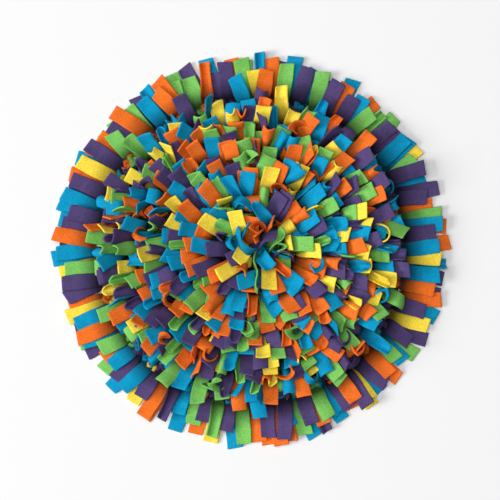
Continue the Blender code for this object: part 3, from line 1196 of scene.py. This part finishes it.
def run_tree(obj: bpy.types.Object, tree: bpy.types.NodeTree, values: dict[str, object]) -> None:
    """Run a tree on an object and leave the result as its plain mesh.

    Args:
        obj: The object, whose own mesh is the tree's input.
        tree: The geometry tree.
        values: Input name to value.
    """
    modifier = obj.modifiers.new(tree.name, "NODES")
    modifier.node_group = tree
    for item in tree.interface.items_tree:
        if item.item_type == "SOCKET" and item.in_out == "INPUT" and item.name in values:
            modifier[item.identifier] = values[item.name]
    freeze(obj)


def freeze(obj: bpy.types.Object) -> None:
    """Turn an object's modifiers into its mesh.

    Args:
        obj: The object.
    """
    bpy.context.view_layer.update()
    evaluated = obj.evaluated_get(bpy.context.evaluated_depsgraph_get())
    mesh = bpy.data.meshes.new_from_object(evaluated)
    obj.modifiers.clear()
    obj.data = mesh


def link_object(name: str, data: bpy.types.ID) -> bpy.types.Object:
    """Put a new object in the scene.

    Args:
        name: The object's name.
        data: Its mesh, light or camera.

    Returns:
        The object.
    """
    obj = bpy.data.objects.new(name, data)
    bpy.context.scene.collection.objects.link(obj)
    return obj


def store(mesh: bpy.types.Mesh, name: str, values: np.ndarray) -> None:
    """Store a number or a vector on each point of a mesh.

    Args:
        mesh: The mesh.
        name: The attribute's name.
        values: One number or one row of three for each point.
    """
    if values.ndim == 1:
        layer = mesh.attributes.new(name, "FLOAT", "POINT")
        layer.data.foreach_set("value", values.astype(np.float32))
    else:
        layer = mesh.attributes.new(name, "FLOAT_VECTOR", "POINT")
        layer.data.foreach_set("vector", values.astype(np.float32).ravel())


def thicken(obj: bpy.types.Object, thickness: float) -> None:
    """Give a sheet its thickness, half to each side.

    Args:
        obj: The sheet's object.
        thickness: The thickness, in metres.
    """
    body = obj.modifiers.new("thickness", "SOLIDIFY")
    body.thickness = thickness
    body.offset = 0.0


def join_pieces(name: str, parts: Sequence[bpy.types.Object]) -> bpy.types.Object:
    """Join parts that share a material into one piece.

    Args:
        name: The piece's name.
        parts: The parts' objects.

    Returns:
        The piece.
    """
    for obj in bpy.context.selected_objects:
        obj.select_set(False)
    for part in parts:
        part.select_set(True)
    bpy.context.view_layer.objects.active = parts[0]
    bpy.ops.object.join()
    parts[0].name = name
    parts[0].data.name = name
    return parts[0]


@dataclass
class StripTree:
    """The tree that sweeps fleece strips along their centre lines."""

    columns: int = 7
    pleats: float = 6.6
    ripple: float = 0.45 * MM
    ripple_scale: float = 90.0
    usual_length: float = 58.0
    tree: bpy.types.NodeTree | None = None

    def build(self) -> "StripTree":
        """Build the tree and return this object."""
        tree = new_tree("fleece_strips", (
            ("Columns", "NodeSocketInt", self.columns),
            ("Ripple", "NodeSocketFloat", self.ripple),
            ("Ripple Scale", "NodeSocketFloat", self.ripple_scale),
            ("Pleat Depth", "NodeSocketFloat", CUT.pleat_depth),
            ("Material", "NodeSocketMaterial", None),
        ))
        sheet = NodeSheet(tree)
        given = sheet.add("NodeGroupInput").outputs
        line = sheet.take("GeometryNodeCurvePrimitiveLine", {
            "Start": (-1.0, 0.0, 0.0), "End": (1.0, 0.0, 0.0)})
        split = sheet.take("GeometryNodeResampleCurve", {"Curve": line, "Count": given["Columns"]})
        place = sheet.take("GeometryNodeInputPosition")
        # Columns crowd towards the two cut edges, so that the edges round off tightly.
        spot = sheet.take("ShaderNodeSeparateXYZ", {0: place})
        crowded = sheet.math("SINE", sheet.times(spot, math.pi / 2))
        profile = sheet.take("GeometryNodeStoreNamedAttribute", {
            "Geometry": split, "Name": "across", "Value": crowded},
            data_type="FLOAT", domain="POINT")
        spine = sheet.take("GeometryNodeMeshToCurve", {"Mesh": given["Geometry"]})
        swept = sheet.take("GeometryNodeCurveToMesh", {"Curve": spine, "Profile Curve": profile})
        across, half, fold, pleat, phase = (
            sheet.stored(name) for name in ("across", "half", "fold", "pleat", "phase"))
        centre, side, rise, slant = (
            sheet.stored(name, "FLOAT_VECTOR") for name in ("centre", "side", "rise", "slant"))
        gutter = sheet.times(fold, sheet.less(sheet.times(across, across), 0.5))
        wave = sheet.math("SINE", sheet.plus(sheet.times(across, self.pleats), phase))
        pleated = sheet.times(sheet.times(wave, pleat), given["Pleat Depth"])
        noise = sheet.noise(place, Scale=given["Ripple Scale"], Detail=1.0)
        ripple = sheet.times(sheet.less(noise, 0.5), sheet.times(given["Ripple"], 3.0))
        flat = sheet.joined(centre, sheet.scaled(side, sheet.times(across, half)))
        cut = sheet.joined(flat, sheet.scaled(slant, across))
        bent = sheet.joined(cut, sheet.scaled(rise, sheet.plus(gutter, pleated)))
        shaped = sheet.moved(swept, Position=bent)
        napped = sheet.moved(shaped, Offset=sheet.scaled(rise, ripple))
        real = sheet.take("GeometryNodeRealizeInstances", {"Geometry": napped})
        sheet.finish(real, given["Material"])
        self.tree = tree
        return self

    def sweep(self, name: str, ribbons: Sequence[Ribbon],
              finish: FleeceFinish) -> bpy.types.Object:
        """Return one object that holds these ends as closed strips.

        Args:
            name: The object's name.
            ribbons: The ends.
            finish: Their cloth.

        Returns:
            The object, with a plain mesh.
        """
        stations, count = len(SHARES), len(ribbons)
        edges = [(first + step, first + step + 1)
                 for first in range(0, count * stations, stations) for step in range(stations - 1)]
        mesh = bpy.data.meshes.new(name)
        points = np.concatenate([ribbon.centre for ribbon in ribbons])
        mesh.from_pydata(points.tolist(), edges, [])
        for part in ("centre", "side", "rise", "half", "fold"):
            store(mesh, part, np.concatenate([getattr(ribbon, part) for ribbon in ribbons]))
        store(mesh, "phase", np.repeat([ribbon.phase for ribbon in ribbons], stations))
        # The share along the strip, which the material reads for its painted shade near the knot.
        store(mesh, "along", np.tile(SHARES, count))
        cuts = [np.cross(ribbon.rise, ribbon.side) * (-ribbon.slant * SHARES ** 6)[:, None]
                for ribbon in ribbons]
        store(mesh, "slant", np.concatenate(cuts))
        pleat = 1.0 - smooth(SHARES * self.usual_length * MM / CUT.pleat_run)
        store(mesh, "pleat", np.tile(pleat, count))
        obj = link_object(name, mesh)
        run_tree(obj, self.tree, {"Material": finish.material()})
        thicken(obj, CUT.thickness)
        rounding = obj.modifiers.new("rounding", "SUBSURF")
        rounding.levels = 1
        rounding.render_levels = 1
        freeze(obj)
        obj.data.shade_smooth()
        return obj


@dataclass
class KnotTree:
    """The tree that ties a knot at each point: a strip drawn tight over and under itself."""

    lobe: float = 2.1 * MM
    bulk: float = 2.7 * MM
    turns: int = 12
    sides: int = 5
    crumple: float = 1.1 * MM
    crumple_scale: float = 170.0
    # Where the knots sit on the fleece's painted shade ramp, which darkens them as if shaded down
    # in the pile.
    shade: float = 0.42
    tree: bpy.types.NodeTree | None = None

    def build(self) -> "KnotTree":
        """Build the tree and return this object."""
        tree = new_tree("fleece_knots", (
            ("Lobe", "NodeSocketFloat", self.lobe),
            ("Bulk", "NodeSocketFloat", self.bulk),
            ("Turns", "NodeSocketInt", self.turns),
            ("Sides", "NodeSocketInt", self.sides),
            ("Crumple", "NodeSocketFloat", self.crumple),
            ("Material", "NodeSocketMaterial", None),
        ))
        sheet = NodeSheet(tree)
        given = sheet.add("NodeGroupInput").outputs
        circle = sheet.take("GeometryNodeCurvePrimitiveCircle", {
            "Resolution": given["Turns"], "Radius": 1.0})
        # The path of a trefoil, which passes over and under itself three times.
        step = sheet.add("GeometryNodeSplineParameter").outputs["Factor"]
        angle = sheet.times(step, math.tau)
        double, triple = sheet.times(angle, 2.0), sheet.times(angle, 3.0)
        path = sheet.take("ShaderNodeCombineXYZ", {
            0: sheet.plus(sheet.math("SINE", angle), sheet.times(sheet.math("SINE", double), 2.0)),
            1: sheet.less(sheet.math("COSINE", angle),
                          sheet.times(sheet.math("COSINE", double), 2.0)),
            2: sheet.times(sheet.math("SINE", triple), -1.1)})
        tied = sheet.moved(circle, Position=sheet.scaled(path, given["Lobe"]))
        ring = sheet.take("GeometryNodeCurvePrimitiveCircle", {
            "Resolution": given["Sides"], "Radius": given["Bulk"]})
        rope = sheet.take("GeometryNodeCurveToMesh", {"Curve": tied, "Profile Curve": ring})
        turn = sheet.take("FunctionNodeEulerToRotation", {0: sheet.stored("turn", "FLOAT_VECTOR")})
        spread = sheet.take("GeometryNodeInstanceOnPoints", {
            "Points": given["Geometry"], "Instance": rope, "Rotation": turn,
            "Scale": sheet.stored("size")})
        real = sheet.take("GeometryNodeRealizeInstances", {"Geometry": spread})
        place = sheet.take("GeometryNodeInputPosition")
        noise = sheet.noise(place, Scale=self.crumple_scale, Detail=1.0)
        push = sheet.times(sheet.less(noise, 0.5), sheet.times(given["Crumple"], 2.0))
        normal = sheet.take("GeometryNodeInputNormal")
        crumpled = sheet.moved(real, Offset=sheet.scaled(normal, push))
        soft = sheet.take("GeometryNodeSetShadeSmooth", {"Geometry": crumpled})
        sheet.finish(soft, given["Material"])
        self.tree = tree
        return self

    def scatter(self, name: str, knots: Sequence[Knot], finish: FleeceFinish) -> bpy.types.Object:
        """Return one object that holds these knots.

        Args:
            name: The object's name.
            knots: The knots.
            finish: Their cloth.

        Returns:
            The object, with a plain mesh.
        """
        mesh = bpy.data.meshes.new(name)
        mesh.from_pydata([knot.place.tolist() for knot in knots], [], [])
        store(mesh, "turn", np.array([knot.turn for knot in knots]))
        store(mesh, "size", np.array([knot.size for knot in knots]))
        # The knots take the painted shade that the fleece material gives through along.
        store(mesh, "along", np.full(len(knots), self.shade))
        obj = link_object(name, mesh)
        run_tree(obj, self.tree, {"Material": finish.material()})
        return obj


# ---- Base cloth ----


@dataclass
class BaseCloth:
    """The round felt base that the strips are tied to."""

    node: str = "base_cloth"
    rings: int = 24
    sides: int = 96
    edge_rounding: float = 0.6 * MM

    def build(self, pile: Sequence[bpy.types.Object]) -> bpy.types.Object:
        """Args:
            pile: The strip pieces that are tied to it; not used.

        Returns:
            The base's object.
        """
        low, high = (np.array(corner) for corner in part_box(self.node))
        radius = (high[0] - low[0]) / 2
        thickness = high[2] - low[2]
        points = [(0.0, 0.0, thickness / 2)]
        for ring in range(1, self.rings + 1):
            for side in range(self.sides):
                bearing = math.tau * side / self.sides
                reach = radius * ring / self.rings
                points.append(tuple(plan_point(reach, bearing, thickness / 2)))
        faces = [(0, 1 + (side + 1) % self.sides, 1 + side) for side in range(self.sides)]
        for ring in range(self.rings - 1):
            first = 1 + ring * self.sides
            for side in range(self.sides):
                after = (side + 1) % self.sides
                faces.append((first + side, first + after,
                              first + self.sides + after, first + self.sides + side))
        mesh = bpy.data.meshes.new("felt_base")
        mesh.from_pydata(points, [], faces)
        obj = link_object("felt_base", mesh)
        obj.data.materials.append(FeltFinish().material())
        thicken(obj, thickness)
        edge = obj.modifiers.new("edge", "BEVEL")
        edge.width = self.edge_rounding
        edge.segments = 2
        edge.limit_method = "ANGLE"
        freeze(obj)
        obj.data.shade_smooth()
        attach(obj, BODY)
        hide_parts(self.node)
        list(pile)
        LOG.info("piece felt_base: %d faces", len(obj.data.polygons))
        return obj


# ---- Studio ----


@dataclass
class Studio:
    """Pale floor, soft light and a camera straight above."""

    frame_width: float = 0.625
    camera_height: float = 1.9
    aim: tuple[float, float] = (-0.00125, 0.0006)
    sensor_width: float = 36.0
    floor_size: float = 6.0
    floor_tone: float = 0.728
    floor_roughness: float = 0.9
    key_place: tuple[float, float, float] = (-7.8, -1.3, 5.4)
    key_size: float = 4.0
    key_power: float = 840.0
    overhead_place: tuple[float, float, float] = (-1.5, 0.9, 9.6)
    overhead_size: float = 6.6
    overhead_power: float = 800.0
    fill: float = 0.08

    def build(self) -> None:
        """Build the floor, the lights and the camera."""
        self.floor()
        self.lights()
        self.camera()

    def floor(self) -> None:
        """Lay the plain pale floor that the mat rests on."""
        bpy.ops.mesh.primitive_plane_add(size=self.floor_size, location=(0.0, 0.0, 0.0))
        floor = bpy.context.object
        floor.name = "studio_floor"
        material, sheet, shader = new_material("studio_floor")
        sheet.feed(shader, {
            "Base Color": (self.floor_tone, self.floor_tone, self.floor_tone, 1.0),
            "Roughness": self.floor_roughness})
        floor.data.materials.append(material)

    def lights(self) -> None:
        """Add a large soft key from the left and an even sky."""
        world = bpy.data.worlds.new("studio_sky")
        bpy.context.scene.world = world
        world.use_nodes = True
        sky = world.node_tree.nodes["Background"]
        sky.inputs["Color"].default_value = (1.0, 1.0, 1.0, 1.0)
        sky.inputs["Strength"].default_value = self.fill
        self.area_light("key", self.key_place, self.key_size, self.key_power)
        self.area_light("overhead", self.overhead_place, self.overhead_size, self.overhead_power)

    @staticmethod
    def area_light(name: str, place: tuple[float, float, float], size: float,
                   power: float) -> None:
        """Add a square light that faces the mat.

        Args:
            name: Its name.
            place: Where it hangs, in metres.
            size: Its side, in metres.
            power: Its power, in watts.
        """
        light = bpy.data.lights.new(name, "AREA")
        light.energy = power
        light.size = size
        obj = link_object(name, light)
        obj.location = place
        obj.rotation_euler = (-Vector(place)).to_track_quat("-Z", "Y").to_euler()

    def camera(self) -> None:
        """Hang the camera over the mat, looking straight down."""
        lens = bpy.data.cameras.new("camera")
        lens.sensor_width = self.sensor_width
        lens.lens = self.sensor_width * self.camera_height / self.frame_width
        camera = link_object("camera", lens)
        camera.location = (*self.aim, self.camera_height)
        bpy.context.scene.camera = camera
        bpy.context.scene.view_settings.view_transform = "Standard"


def main() -> None:
    """Dress the frame."""
    logging.basicConfig(level=logging.INFO, format="%(message)s")
    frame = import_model()
    pieces = StripPile().build(set(frame["nodes"]))
    BaseCloth().build(pieces)
    Studio().build()


if __name__ == "__main__":
    main()
